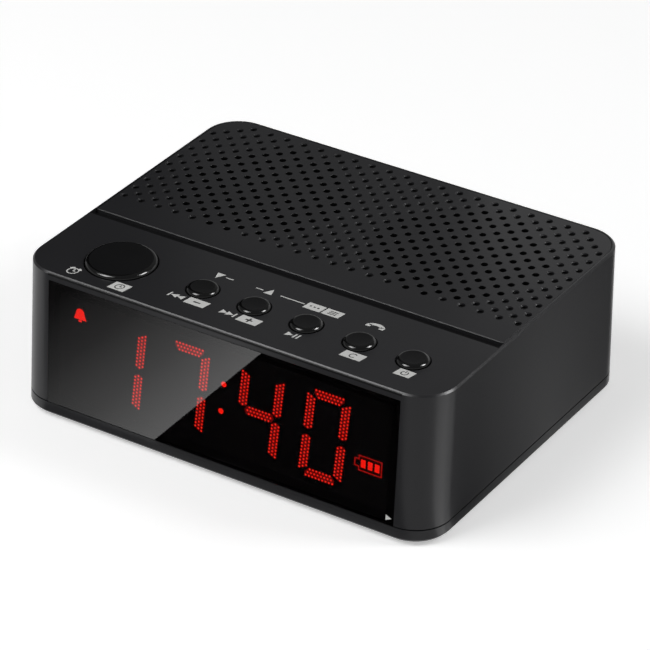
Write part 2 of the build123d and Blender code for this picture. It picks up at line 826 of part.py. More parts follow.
def audio_jack():
    """Socket for a 3.5 mm plug: a box on the board and a barrel through the wall."""
    width, depth, height = jack_size
    middle = main_board_top_z + height / 2
    box_back = back_y - wall - port_clearance
    mouth = back_y - port_inset
    half = width / 2
    jack = block(
        (jack_position - half, box_back - depth, main_board_top_z),
        (jack_position + half, box_back, main_board_top_z + height),
    )
    along = Pos(jack_position, mouth, middle) * Rot(90, 0, 0)
    start = (Align.CENTER, Align.CENTER, Align.MIN)
    jack += along * Cylinder(jack_barrel, mouth - box_back + wall, align=start)
    return jack - along * Cylinder(jack_bore, jack_bore_depth, align=start)


def power_switch_body():
    """Slide switch behind the back wall."""
    width, depth, height = power_body_size
    slot_width, slot_depth, slot_height = power_slot_size
    face = back_y - wall - port_clearance
    middle = main_board_top_z + height / 2
    body = block(
        (power_position - width / 2, face - depth, main_board_top_z),
        (power_position + width / 2, face, main_board_top_z + height),
    )
    return body - block(
        (power_position - slot_width / 2, face - slot_depth, middle - slot_height / 2),
        (power_position + slot_width / 2, face, middle + slot_height / 2),
    )


def power_switch_knob():
    """Slider of the power switch, at the off end of its slot."""
    width, depth, height = power_knob_size
    face = back_y - wall - port_clearance
    middle = main_board_top_z + power_body_size[2] / 2
    low = face - power_slot_size[1] + power_fit
    left = power_position - power_travel / 2 - width / 2
    return block((left, low, middle - height / 2), (left + width, low + depth, middle + height / 2))


def microphone():
    """Capsule on the front of the display board, beside the window."""
    depth = lens_thickness + reflector_gap + reflector_depth
    across = max(x for x, _ in display_post_centres())
    return front_peg(microphone_radius, across, 0, depth - microphone_depth, depth)


def screw(head_radius, radius, bite):
    """Pan-head screw, head below the origin and shank upwards."""
    return peg(head_radius, -screw_head_height, 0) + peg(radius, 0, bite)


def case_screws():
    """Four screws through the base into the housing's bosses."""
    one = screw(case_screw_head, screw_radius, base_floor - case_screw_sunk + screw_bite)
    return Compound([(Pos(x, y, base_z + case_screw_sunk) * one).solid() for x, y in boss_centres()])


def small_screws(places, bite):
    """One board screw at each place."""
    one = screw(small_screw_head, small_screw_radius, bite)
    return Compound([(place * one).solid() for place in places])


def main_board_screws():
    bite = board_thickness + small_screw_bite - screw_end_gap
    return small_screws([Pos(x, y, main_board_top_z) * Rot(180, 0, 0) for x, y in standoff_centres()], bite)


def button_board_screws():
    low = button_board_z - board_thickness
    places = [Pos(x, y, low) for x, y in button_post_centres()]
    return small_screws(places, board_thickness + small_screw_bite)


def display_board_screws():
    depth = lens_thickness + reflector_gap + reflector_depth + board_thickness
    places = [front_plane.location * Pos(x, y, -depth) for x, y in display_post_centres()]
    return small_screws(places, board_thickness + small_screw_bite - screw_end_gap)


def speaker_screws():
    """Washer-head screws that hold both speaker flanges by their corners."""
    low = grille_under_z - speaker_flange_thickness
    one = screw(speaker_screw_head, small_screw_radius, speaker_screw_bite - screw_end_gap)
    return Compound([(Pos(x, y, low) * one).solid() for x, y in speaker_post_centres()])


nodes = {
    "top_housing": top_housing(),
    "speaker_grille": speaker_grille(),
    "base_plate": base_plate(),
    "display_lens": display_lens(),
    "display_reflector": display_reflector(),
    "digit_segments": digit_segments(),
    "colon_dots": Compound([display_inlay(plan).solid() for plan in colon_plans()]),
    "status_marks": Compound([display_inlay(plan).solid() for plan in mark_plans()]),
    "display_board": display_board(),
    "display_board_screws": display_board_screws(),
    "button_board": button_board(),
    "button_board_screws": button_board_screws(),
    "switch_bodies": switch_bodies(),
    "main_board": main_board(),
    "main_board_screws": main_board_screws(),
    "board_chips": board_chips(),
    "usb_port_shell": shell_port(usb_position, usb_size, usb_wall),
    "usb_port_tongue": port_tongue(usb_position, usb_size, usb_wall, usb_insert),
    "charge_port_shell": shell_port(charge_position, charge_size, charge_wall),
    "charge_port_tongue": port_tongue(charge_position, charge_size, charge_wall, charge_insert),
    "card_slot": card_slot(),
    "audio_jack": audio_jack(),
    "power_switch_body": power_switch_body(),
    "power_switch_knob": power_switch_knob(),
    "microphone": microphone(),
    "battery": battery(),
    "battery_terminals": battery_terminals(),
    "battery_door": battery_door(),
    "rubber_feet": rubber_feet(),
    "case_screws": case_screws(),
    "speaker_screws": speaker_screws(),
}
for name, x in button_centres.items():
    snooze = name == "snooze"
    cap_diameter = snooze_diameter if snooze else button_diameter
    nodes[f"{name}_button"] = button(x, cap_diameter, snooze_proud if snooze else button_proud)
    nodes[f"{name}_plunger"] = plunger(x)
for side, (x, y) in speakers.items():
    nodes[f"{side}_speaker_frame"] = speaker_frame(x, y)
    nodes[f"{side}_speaker_magnet"] = speaker_magnet(x, y)
    nodes[f"{side}_speaker_cone"] = speaker_cone(x, y)

os.makedirs("parts", exist_ok=True)
for name, shape in nodes.items():
    export_step(shape, f"parts/{name}.step")
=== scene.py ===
import math

import bmesh
import bpy
import numpy as np
from mathutils import Matrix, Vector


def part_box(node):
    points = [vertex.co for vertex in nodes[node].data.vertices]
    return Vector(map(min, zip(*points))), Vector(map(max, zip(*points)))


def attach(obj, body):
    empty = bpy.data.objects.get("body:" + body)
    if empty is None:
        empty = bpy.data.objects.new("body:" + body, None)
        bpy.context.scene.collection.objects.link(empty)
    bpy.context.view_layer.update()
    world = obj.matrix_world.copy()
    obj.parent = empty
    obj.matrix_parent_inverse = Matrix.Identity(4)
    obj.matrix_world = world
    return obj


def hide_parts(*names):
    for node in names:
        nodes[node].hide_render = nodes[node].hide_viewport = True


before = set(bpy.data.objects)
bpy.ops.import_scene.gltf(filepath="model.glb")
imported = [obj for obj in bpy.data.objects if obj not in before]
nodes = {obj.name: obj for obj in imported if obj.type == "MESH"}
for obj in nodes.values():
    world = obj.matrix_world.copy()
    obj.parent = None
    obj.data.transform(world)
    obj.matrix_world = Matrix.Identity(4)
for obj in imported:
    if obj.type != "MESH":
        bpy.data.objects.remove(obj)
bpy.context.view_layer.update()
mm = 0.001
scene = bpy.context.scene


def boxMm(node):  # lowest and highest corner of a CAD node, in millimetres
    low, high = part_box(node)
    return np.array(low) / mm, np.array(high) / mm


def middleMm(node):  # centre of a CAD node's box: half the sum of its two corners
    low, high = boxMm(node)
    return (low + high) / 2


housingHigh = boxMm("top_housing")[1]
deckTop = housingHigh[2]
print("frame loaded:", len(nodes), "nodes, deck at", round(deckTop, 2), "mm")


# Colours and materials

def linear(code):  # sRGB hex to linear light: straight near black, a power of 2.4 above that
    part = np.array([int(code[i:i + 2], 16) for i in (1, 3, 5)]) / 255
    part = np.where(part <= 0.04045, part / 12.92, ((part + 0.055) / 1.055) ** 2.4)
    return (*part.tolist(), 1.0)


black, white = linear("#000000"), linear("#ffffff")
mixShare, mixFirst, mixSecond, mixResult = 0, 6, 7, 2  # sockets of a mix node that mixes colours


def addNode(tree, kind, values=None, links=None, **settings):
    # one shader node: settings are its own properties, values and links go into its inputs
    node = tree.nodes.new(kind)
    for key, value in settings.items():
        setattr(node, key, value)
    for key, value in (values or {}).items():
        node.inputs[key].default_value = value
    for key, socket in (links or {}).items():
        tree.links.new(socket, node.inputs[key])
    return node


def newMaterial(name, **sockets):
    # one principled shader; its inputs are named with _ for each space
    material = bpy.data.materials.new(name)
    material.use_nodes = True
    shader = material.node_tree.nodes["Principled BSDF"]
    for key, value in sockets.items():
        shader.inputs[key.replace("_", " ")].default_value = value
    return material, material.node_tree, shader


texture = {"slowDetail": 3.0, "fineDetail": 2.0, "fineLow": 0.3, "fineHigh": 0.7, "bump": 0.35}


def mottled(name, dark, light, roughness, spread, grain, depth, patch, **sockets):
    # a slow noise, patch mm wide, mixes the two tones; a fine noise, grain mm wide,
    # moves the roughness up and down by spread and raises bumps that are depth mm high
    # real textures are mostly finer, and are drawn as coarse as they need to show
    material, tree, shader = newMaterial(name, **sockets)
    place = addNode(tree, "ShaderNodeTexCoord").outputs["Object"]
    slow = addNode(tree, "ShaderNodeTexNoise",
                   {"Scale": 1 / (patch * mm), "Detail": texture["slowDetail"]}, {"Vector": place})
    fine = addNode(tree, "ShaderNodeTexNoise",
                   {"Scale": 1 / (grain * mm), "Detail": texture["fineDetail"]}, {"Vector": place})
    tint = addNode(tree, "ShaderNodeMix", {mixFirst: linear(dark), mixSecond: linear(light)},
                   {mixShare: slow.outputs["Fac"]}, data_type="RGBA")
    tree.links.new(tint.outputs[mixResult], shader.inputs["Base Color"])
    sheen = addNode(tree, "ShaderNodeMapRange",
                    {"From Min": texture["fineLow"], "From Max": texture["fineHigh"],
                     "To Min": roughness - spread, "To Max": roughness + spread},
                    {"Value": fine.outputs["Fac"]})
    tree.links.new(sheen.outputs["Result"], shader.inputs["Roughness"])
    bump = addNode(tree, "ShaderNodeBump", {"Strength": texture["bump"], "Distance": depth * mm},
                   {"Height": fine.outputs["Fac"]})
    tree.links.new(bump.outputs["Normal"], shader.inputs["Normal"])
    return material


# moulded ABS, fine spark-eroded texture: a soft grey sheen with no sharp reflections
caseAbs = mottled("mouldedAbsSatinBlack", "#252527", "#2a2a2c", roughness=0.31, spread=0.03, grain=0.45,
                  depth=0.012, patch=30, Specular_IOR_Level=0.28, IOR=1.53)
finishes = {
    "case_black": caseAbs,
    "button_black": caseAbs,
    # polyamide, plain moulded: duller than the case
    "connector_black": mottled("mouldedNylonBlack", "#121212", "#1c1c1c", roughness=0.55, spread=0.06,
                               grain=0.3, depth=0.01, patch=6, Specular_IOR_Level=0.3, IOR=1.53),
    # moulded polycarbonate behind the window: matt, takes up stray light
    "display_black": mottled("mouldedPolycarbonateBlack", "#050505", "#080808", roughness=0.7, spread=0.05,
                             grain=0.4, depth=0.01, patch=12, Specular_IOR_Level=0.1),
    # moulded red diffusers, unlit: almost black behind the smoked window
    "led_red": mottled("mouldedDiffuserUnlit", "#0a0404", "#0e0505", roughness=0.5, spread=0.05,
                       grain=0.4, depth=0.01, patch=5, Specular_IOR_Level=0.1),
    # glass laminate under green solder mask: an even green with a soft shine
    "circuit_board": mottled("solderMaskGreen", "#0d3a22", "#114a2b", roughness=0.38, spread=0.05,
                             grain=0.5, depth=0.01, patch=4),
    # zinc plate on steel: pale grey metal in small cloudy patches
    "zinc_steel": mottled("zincPlatedSteel", "#a9acb0", "#c2c4c6", roughness=0.34, spread=0.08,
                          grain=0.2, depth=0.004, patch=1.5, Metallic=1.0),
    # black oxide on steel: dark metal with a low sheen
    "black_steel": mottled("blackOxideSteel", "#1d1d1e", "#2a2a2b", roughness=0.42, spread=0.08,
                           grain=0.2, depth=0.004, patch=1.5, Metallic=1.0),
    # nickel plate on pressed sheet: warm bright metal, slightly uneven
    "plated_shell": mottled("nickelPlatedSheet", "#b3b1ab", "#cbc9c2", roughness=0.27, spread=0.06,
                            grain=0.25, depth=0.004, patch=2, Metallic=1.0),
    # stoved paint on pressed sheet: even black with a half dull shine
    "pressed_steel": mottled("stovedBlackPaint", "#151515", "#1d1d1d", roughness=0.4, spread=0.06,
                             grain=0.6, depth=0.012, patch=8),
    # sintered ferrite: dull dark grey, slightly porous
    "ferrite": mottled("sinteredFerrite", "#2b2b2c", "#3a3a3b", roughness=0.7, spread=0.08,
                       grain=0.35, depth=0.02, patch=3),
    # felted paper pulp: matt, with a rough grain
    "cone_paper": mottled("feltedConePaper", "#171717", "#222222", roughness=0.85, spread=0.05,
                          grain=0.5, depth=0.03, patch=3, Specular_IOR_Level=0.15),
    # drawn aluminium: clean pale metal
    "microphone_can": mottled("drawnAluminium", "#b4b6b8", "#c9cbcc", roughness=0.3, spread=0.06,
                              grain=0.2, depth=0.004, patch=1.5, Metallic=1.0),
    # heat-shrunk film: smooth blue, gently wavy
    "battery_wrap": mottled("heatShrunkWrap", "#1f4f8a", "#2760a0", roughness=0.3, spread=0.05,
                            grain=1.2, depth=0.02, patch=10),
    # gold flash on contacts: bright yellow metal
    "gilt_contact": mottled("goldFlash", "#c79a45", "#dcb25c", roughness=0.26, spread=0.05,
                            grain=0.2, depth=0.003, patch=1.5, Metallic=1.0),
    # moulded rubber: dull with a fine grain
    "foot_rubber": mottled("mouldedRubber", "#161616", "#202020", roughness=0.8, spread=0.05,
                           grain=0.4, depth=0.02, patch=4, Specular_IOR_Level=0.2),
}

# polished smoked acrylic: a mirror-flat dark window, nearly black where nothing glows behind it
window = {"cloudWidth": 40, "cloudDetail": 1.0, "tones": ("#3a3436", "#3d3739")}
smokedAcrylic, tree, shader = newMaterial("polishedSmokedAcrylic", Transmission_Weight=1.0, IOR=1.49,
                                          Roughness=0.0)
place = addNode(tree, "ShaderNodeTexCoord").outputs["Object"]
cloud = addNode(tree, "ShaderNodeTexNoise",
                {"Scale": 1 / (window["cloudWidth"] * mm), "Detail": window["cloudDetail"]},
                {"Vector": place})
smoke = addNode(tree, "ShaderNodeValToRGB", links={"Fac": cloud.outputs["Fac"]})
for element, tone in zip(smoke.color_ramp.elements, window["tones"]):
    element.color = linear(tone)
tree.links.new(smoke.outputs["Color"], shader.inputs["Base Color"])
finishes["smoked_window"] = smokedAcrylic

for node in nodes.values():
    slotName = node.data.materials[0].name.split(".")[0]
    node.data.materials[0] = finishes[slotName]
print("materials:", len(finishes))


# Meshes

weldDistance = 2e-7  # in metres: points that are closer become one


def gridFaces(rows, columns, wrap=False):
    # one quad for each grid cell, rows upwards, columns to the right; wrap joins the last column to the first
    row, column = np.meshgrid(np.arange(rows - 1), np.arange(columns if wrap else columns - 1), indexing="ij")
    first = row * columns + column
    second = row * columns + (column + 1) % columns
    return np.stack([first, second, second + columns, first + columns], axis=-1).reshape(-1, 4)


def addPiece(name, points, faces, body, slot, material, stands=(), smoothAngle=35, **attributes):
    # points in mm; doubles are merged, which closes seams and poles, and edges above the angle stay sharp
    mesh = bpy.data.meshes.new(name)
    mesh.from_pydata((points * mm).tolist(), [], faces if isinstance(faces, list) else faces.tolist())
    for key, values in attributes.items():
        layer = mesh.attributes.new(key, "FLOAT", "POINT")
        layer.data.foreach_set("value", np.asarray(values, dtype=np.float32))
    work = bmesh.new()
    work.from_mesh(mesh)
    bmesh.ops.remove_doubles(work, verts=work.verts, dist=weldDistance)
    bmesh.ops.recalc_face_normals(work, faces=work.faces)
    work.to_mesh(mesh)
    work.free()
    mesh.polygons.foreach_set("use_smooth", np.ones(len(mesh.polygons), dtype=bool))
    mesh.set_sharp_from_angle(angle=math.radians(smoothAngle))
    mesh.materials.append(material)
    piece = bpy.data.objects.new(name, mesh)
    scene.collection.objects.link(piece)
    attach(piece, body)
    if stands:
        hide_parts(*stands)
    return piece


# Case mouldings: the CAD shells with their curved walls shaded as one surface

shell = {"nodes": ("top_housing", "base_plate"), "smoothAngle": 24}


def smoothCopy(node):
    # the CAD's own triangles, with the corners that meet merged into one
    source = nodes[node].data
    points = np.empty(len(source.vertices) * 3)
    source.vertices.foreach_get("co", points)
    corners = np.empty(len(source.loops), dtype=int)
    source.loops.foreach_get("vertex_index", corners)
    return addPiece(node + "_shell", points.reshape(-1, 3) / mm, corners.reshape(-1, 3), "case",
                    "case_black", caseAbs, (node,), shell["smoothAngle"])


shells = [smoothCopy(node) for node in shell["nodes"]]
print("case mouldings:", sum(len(piece.data.polygons) for piece in shells), "faces")


# Buttons: surfaces of revolution, a smooth rounded rim round a matt top

button = {"flangeReach": 1.0, "flangeTop": 2.45, "flangeDepth": 1.0, "postRadius": 2.0, "rimRadius": 1.25,
          "dish": 0.1, "inlay": 0.3, "steps": 64, "arcSteps": 10, "faceSteps": 6, "smoothAngle": 50}

# polished part of the mould: two clear glints on the rim
buttonAbs = mottled("mouldedAbsPolished", "#090909", "#0d0d0e", roughness=0.13, spread=0.02, grain=2.5,
                    depth=0.001, patch=8, Specular_IOR_Level=0.45, IOR=1.53)
# etched part of the mould: a dull, dark face; the same finish is used for the strips of painted shade below
# the front edge and in the channel
capAndShadeAbs = mottled("mouldedAbsEtchedAndShade", "#101011", "#151516", roughness=0.42, spread=0.04, grain=0.35,
                 depth=0.008, patch=8, Specular_IOR_Level=0.12, IOR=1.53)


def turned(name, key, centre, profile, material, stands):
    # a profile of radius and height, turned once round the button's axis
    turn = np.linspace(0, 2 * math.pi, button["steps"], endpoint=False)
    x = centre[0] + profile[:, :1] * np.cos(turn)
    y = centre[1] + profile[:, :1] * np.sin(turn)
    z = np.repeat(profile[:, 1:], button["steps"], axis=1)
    points = np.stack([x, y, z], axis=-1).reshape(-1, 3)
    addPiece(name, points, gridFaces(len(profile), button["steps"], True), key + "_button", "button_black",
             material, stands, button["smoothAngle"])


def turnedKey(name):
    # post, flange and a quarter-round rim are one profile; the top, another, dips as a shallow parabola
    low, high = boxMm(name + "_button")
    centre = (low + high) / 2
    flangeRadius = (high[0] - low[0]) / 2
    radius = flangeRadius - button["flangeReach"]
    top, rim, post = high[2], button["rimRadius"], button["postRadius"]
    flangeTop = deckTop - button["flangeTop"]
    flangeFoot = flangeTop - button["flangeDepth"]
    capRadius, capFoot = radius - rim, top - button["inlay"]
    arc = np.linspace(0, math.pi / 2, button["arcSteps"])
    shank = [(0, low[2]), (post, low[2]), (post, flangeFoot), (flangeRadius, flangeFoot),
             (flangeRadius, flangeTop), (radius, flangeTop)]
    rimArc = np.stack([capRadius + rim * np.cos(arc), top - rim + rim * np.sin(arc)], axis=1)
    seat = [(capRadius, capFoot), (0, capFoot)]
    turned(name + "_key", name, centre, np.concatenate([shank, rimArc, seat]), buttonAbs, (name + "_button",))
    inset = np.linspace(1, 0, button["faceSteps"])
    face = np.stack([capRadius * inset, top - button["dish"] * (1 - inset ** 2)], axis=1)
    turned(name + "_cap", name, centre, np.concatenate([seat[::-1], face]), capAndShadeAbs, ())


keyNames = ("snooze", "previous", "next", "play", "call", "mode")
for name in keyNames:
    turnedKey(name)
print("buttons:", len(keyNames))


# Speaker grille: a staggered field of round holes, one lattice brick to a hole

grille = {"pitchAcross": 6.0, "pitchBack": 5.7, "halfColumns": 11, "frontMargin": 10.9, "bareRows": 1.1,
          "marginRows": 4, "thickness": 2.0, "edgeChamfer": 0.18, "cornerRadius": 10.0, "smoothAngle": 22,
          "squeezeFrom": 67.0, "squeezeEdge": 0.75, "rimFall": 1.35, "openRadius": 25.3, "openForward": 1.3,
          "roomAcross": 1.6, "roomBack": 0.8, "bareRings": (0.5, 0.3, 0.2, 0.05), "pitShadeTone": "#020202"}
openHole = {"radius": 1.06, "rim": 0.06, "wall": 1.0, "depth": 1.9, "taper": 0.98, "shade": 0.2,
            "shift": (0, 0)}
dimple = {"radius": 1.0, "rim": 0.24, "wall": 0.85, "depth": 1.2, "taper": 0.05, "shade": 1,
          "shift": (0.17, 0.15)}  # pits lean back and to the right

grilleLow, grilleHigh = boxMm("speaker_grille")
panelHalf = grilleHigh[0]
panelFront, panelBack = grilleLow[1], grilleHigh[1]
halfX, halfY = grille["pitchAcross"] / 2, grille["pitchBack"] / 4  # of a brick
fieldDepth = panelBack - panelFront - grille["frontMargin"]
rowCount = int(round(fieldDepth / grille["pitchBack"] * 2 - grille["bareRows"]))
rowY = panelFront + grille["frontMargin"] + np.arange(rowCount + 1) * grille["pitchBack"] / 2
fieldHalf = (grille["halfColumns"] + 0.5) * grille["pitchAcross"]


def panelLimit(y):  # half width of the panel's flat face at depth y, round back corners included
    cornerStart = panelBack - grille["cornerRadius"]
    reach = grille["cornerRadius"] - grille["edgeChamfer"]
    past = np.clip(np.asarray(y, dtype=float) - cornerStart, 0, reach)
    return panelHalf - grille["cornerRadius"] + np.sqrt(reach ** 2 - past ** 2)


def fitWidth(points):  # squeezes the outer ends of the field so that they end on the panel's edge
    x, y = points[..., 0], points[..., 1]
    limit = panelLimit(y)
    start = np.minimum(grille["squeezeFrom"], limit - grille["squeezeEdge"])
    over = np.clip(np.abs(x) - start, 0, None)
    squeezed = start + over * (limit - start) / (fieldHalf - start)
    points[..., 0] = np.where(over > 0, np.sign(x) * squeezed, x)
    return points


# a hole's shade is painted shade: the share of the face's colour kept at each ring
def holeRings(hole):  # radius, drop and shade at the rim's edge, the wall's top, the wall's foot and the end
    radius, rim = hole["radius"], hole["rim"]
    return [(radius + rim, 0, 1), (radius, rim * grille["rimFall"], hole["shade"]),
            (radius, hole["wall"], 0), (radius * hole["taper"], hole["depth"], 0)]


evenRow = np.arange(-grille["halfColumns"], grille["halfColumns"] + 1)
oddRow = evenRow[:-1] + 0.5
centres = []
for number, y in enumerate(rowY):
    across = (oddRow if number % 2 else evenRow) * grille["pitchAcross"]
    centres.append(np.stack([across, np.full(len(across), y)], axis=1))
centres = np.concatenate(centres)
openCentres = [middleMm(side + "_speaker_cone")[:2] - [0, grille["openForward"]]
               for side in ("left", "right")]
isOpen = np.min([np.hypot(*(centres - centre).T) for centre in openCentres], axis=0) < grille["openRadius"]
isBare = np.abs(centres[:, 0]) + grille["roomAcross"] > panelLimit(centres[:, 1] + grille["roomBack"])
kind = np.where(isBare, 2, np.where(isOpen, 0, 1))  # 0 for an open hole, 1 for a blind pit, 2 for neither
bareRings = [(radius, 0, 1) for radius in grille["bareRings"]]
rings = np.array([holeRings(openHole), holeRings(dimple), bareRings])[kind]
pitShift = np.array([openHole["shift"], dimple["shift"], (0, 0)])[kind]

# points round a brick's edge from its front right corner, and the same way round its rings
edgeX = np.array([1, 1, 1, 0.5, 0, -0.5, -1, -1, -1, -0.5, 0, 0.5]) * halfX
edgeY = np.array([-1, 0, 1, 1, 1, 1, 1, 0, -1, -1, -1, -1]) * halfY
sides = len(edgeX)
angle = np.radians((np.arange(sides) - 1) * 360 / sides)
ringCount = 1 + rings.shape[1]
brick = np.zeros((len(centres), ringCount, sides, 3))
brick[:, 0, :, 0] = centres[:, :1] + edgeX
brick[:, 0, :, 1] = centres[:, 1:] + edgeY
brick[:, 1:, :, 0] = centres[:, :1, None] + rings[:, :, :1] * np.cos(angle)
brick[:, 1:, :, 1] = centres[:, 1:, None] + rings[:, :, :1] * np.sin(angle)
brick[:, 1:, :, 2] = -rings[:, :, 1:2]
brick[:, 2:, :, :2] += pitShift[:, None, None]
brick = fitWidth(brick)
# painted shade of the holes, kept as a point attribute
pitShade = np.ones(brick.shape[:3])  # 1 on the face, 0 deep in a hole
pitShade[:, 1:] = rings[:, :, 2:]
brickSize = ringCount * sides
tipFace = np.arange(brickSize - sides, brickSize)
starts = np.arange(len(centres)) * brickSize
faces = (starts[:, None, None] + gridFaces(ringCount, sides, True)).reshape(-1, 4).tolist()
faces += (starts[:, None] + tipFace).tolist()
points = [brick.reshape(-1, 3)]


def addGrid(grid, wrap=False):  # puts a grid of points and its quads behind those that are there
    start = sum(len(part) for part in points)
    points.append(grid.reshape(-1, 3))
    faces.extend((start + gridFaces(*grid.shape[:2], wrap)).tolist())
    return start


def addPatch(xs, ys):  # flat grid of the panel's face between given columns and rows
    gridX, gridY = np.meshgrid(xs, ys)
    addGrid(fitWidth(np.stack([gridX, gridY, np.zeros_like(gridX)], axis=-1)))


chamfer = grille["edgeChamfer"]
quarters = 4 * grille["halfColumns"] + 2
columns = np.arange(-quarters, quarters + 1) * halfX / 2
frontRow, lastRow = rowY[0] - halfY, rowY[-1] + halfY
flatFront, flatBack = panelFront + chamfer, panelBack - chamfer
frontRows = np.linspace(flatFront, frontRow, grille["marginRows"])
backRows = np.linspace(lastRow, flatBack, grille["marginRows"])
addPatch(columns, frontRows)
addPatch(columns, backRows)
for y in rowY[1::2]:  # half bricks at the ends of every second row
    for ends in (columns[-3:], columns[:3]):
        addPatch(ends, y + np.array([-1, 0, 1]) * halfY)

# the panel's edge: chamfer, wall and underside, carried once round the face
sideY = np.concatenate([frontRows[:-1], frontRow + np.arange(2 * len(rowY)) * halfY, backRows])
frontLine = np.stack([columns, np.full(len(columns), flatFront)], axis=1)
rightLine = np.stack([np.full(len(sideY), fieldHalf), sideY], axis=1)
backLine = np.stack([columns[::-1], np.full(len(columns), flatBack)], axis=1)
leftLine = np.stack([np.full(len(sideY), -fieldHalf), sideY[::-1]], axis=1)
loop = fitWidth(np.concatenate([frontLine[:-1], rightLine[:-1], backLine[:-1], leftLine[:-1]]))
along = np.roll(loop, -1, axis=0) - np.roll(loop, 1, axis=0)
outward = np.stack([along[:, 1], -along[:, 0]], axis=1) / np.linalg.norm(along, axis=1, keepdims=True)
outer = np.clip(loop + outward * chamfer, [-panelHalf, panelFront], [panelHalf, panelBack])
edge = np.zeros((4, len(loop), 3))
edge[:, :, :2] = np.stack([loop, outer, outer, loop])
edge[:, :, 2] = -np.array([[0, chamfer, grille["thickness"], grille["thickness"]]]).T
start = addGrid(edge, True)
faces.append((start + 3 * len(loop) + np.arange(len(loop))).tolist())
points = np.concatenate(points)
points[:, 2] += deckTop

# the same ABS, etched duller: an even grey face; the colour darkens towards the bottom of each hole as
# painted shade
grilleAbs = mottled("mouldedAbsGrille", "#212123", "#28282a", roughness=0.4, spread=0.05, grain=0.4,
                    depth=0.012, patch=30, Specular_IOR_Level=0.22, IOR=1.53)
tree = grilleAbs.node_tree
shader = tree.nodes["Principled BSDF"]
faceTint = shader.inputs["Base Color"].links[0].from_socket
# painted shade: the colour is mixed towards the pit tone as the holes deepen
depthShade = addNode(tree, "ShaderNodeAttribute", attribute_name="pitShade")
paintedPitShade = addNode(tree, "ShaderNodeMix", {mixFirst: linear(grille["pitShadeTone"])},
                  {mixShare: depthShade.outputs["Fac"], mixSecond: faceTint}, data_type="RGBA")
tree.links.new(paintedPitShade.outputs[mixResult], shader.inputs["Base Color"])
pitShade = np.concatenate([pitShade.ravel(), np.ones(len(points) - pitShade.size)])
grillePanel = addPiece("grille_panel", points, faces, "case", "case_black", grilleAbs, ("speaker_grille",),
                       grille["smoothAngle"], pitShade=pitShade)
print("grille:", len(centres), "holes,", len(grillePanel.data.polygons), "faces")


# Display: the lit figures are packed red dots just behind the window

display = {"lean": 0.07, "lensThickness": 1.8, "digitHeight": 27.95, "digitWidth": 14.1, "stroke": 2.9,
           "slant": 4.6, "digitPitch": 21.3, "pairPitch": 45.8, "drop": 0.26, "shift": 0.65,
           "segmentGap": 0.35, "dotPitch": 1.08, "rowPitch": 1.05, "dotRadius": 0.43, "dotSides": 8,
           "dotReach": 8, "dotFront": -1.83, "dotBack": -1.88, "strokeFront": -1.85, "dotGlow": 0.85,
           "strokeGlow": 0.0, "strokeEdge": 0.15, "pointBack": 0.45, "pointFall": 0.55, "mitreStep": 0.5,
           "shown": "1740"}
litSegments = {"0": "abcdef", "1": "bc", "4": "fgbc", "7": "abc"}

lensLow, lensHigh = boxMm("display_lens")
tilt = math.atan(display["lean"])
thick = display["lensThickness"]
lensOrigin = np.array([0, (lensLow[1] + lensHigh[1] - thick * math.cos(tilt)) / 2,
                       (lensLow[2] + lensHigh[2] + thick * math.sin(tilt)) / 2])
frontAxes = np.array([[1, 0, 0], [0, math.sin(tilt), math.cos(tilt)], [0, -math.cos(tilt), math.sin(tilt)]])


def onFront(points):  # across, up and out of the leaning front to the shared frame
    return lensOrigin + points @ frontAxes


def prisms(outlines, low, high):  # each outline of (x, y) corners as a closed prism between two heights
    points, faces, start = [], [], 0
    for outline in outlines:
        plan = np.asarray(outline, dtype=float)
        size = len(plan)
        ring = np.arange(size)
        points.append(np.column_stack([np.tile(plan, (2, 1)), np.repeat([low, high], size)]))
        faces += (start + gridFaces(2, size, True)).tolist()
        faces += [(start + ring[::-1]).tolist(), (start + size + ring).tolist()]
        start += 2 * size
    return np.concatenate(points), faces


def domes(centres, radius, low, high):
    # many-sided studs with a middle point on top, which is where they glow
    sides = display["dotSides"]
    tip = 2 * sides
    ring = np.arange(sides)
    corner = np.radians((ring + 0.5) * 360 / sides)
    plan = radius * np.stack([np.cos(corner), np.sin(corner)], axis=1)
    studs = np.zeros((len(centres), tip + 1, 3))
    studs[:, :tip, :2] = centres[:, None] + np.tile(plan, (2, 1))
    studs[:, tip, :2] = centres
    studs[:, :sides, 2], studs[:, sides:, 2] = low, high
    caps = np.stack([sides + ring, sides + (ring + 1) % sides, np.full(sides, tip)], axis=1)
    starts = np.arange(len(centres)) * (tip + 1)
    faces = []
    for part in (gridFaces(2, sides, True), caps, ring[None, ::-1]):
        faces += (starts[:, None, None] + part).reshape(-1, part.shape[1]).tolist()
    glow = np.full((len(centres), tip + 1), display["strokeGlow"])
    glow[:, tip] = display["dotGlow"]
    return studs.reshape(-1, 3), faces, glow.ravel()


# lit moulded diffuser: each dot bright in its middle, deep red at its rim
led = {"strength": 20, "body": "#400604", "rim": "#600404", "flank": "#ff1e10", "flankAt": 0.5,
       "middle": "#ff6a4c"}
ledRed, tree, shader = newMaterial("litDiffuserRed", Base_Color=linear(led["body"]), Roughness=0.4,
                                   Emission_Strength=led["strength"])
glow = addNode(tree, "ShaderNodeAttribute", attribute_name="dotGlow")
ramp = addNode(tree, "ShaderNodeValToRGB", links={"Fac": glow.outputs["Fac"]})
ramp.color_ramp.elements[0].color = linear(led["rim"])
ramp.color_ramp.elements[1].color = linear(led["middle"])
ramp.color_ramp.elements.new(led["flankAt"]).color = linear(led["flank"])
tree.links.new(ramp.outputs["Color"], shader.inputs["Emission Color"])


def litPlates(name, plans, front, glow):  # flat plates behind the window that glow evenly
    points, faces = prisms(plans, display["dotBack"], front)
    addPiece(name, onFront(points), faces, "case", "led_red", ledRed, dotGlow=np.full(len(points), glow))


strokeRows = np.array([-1, 0, 1])


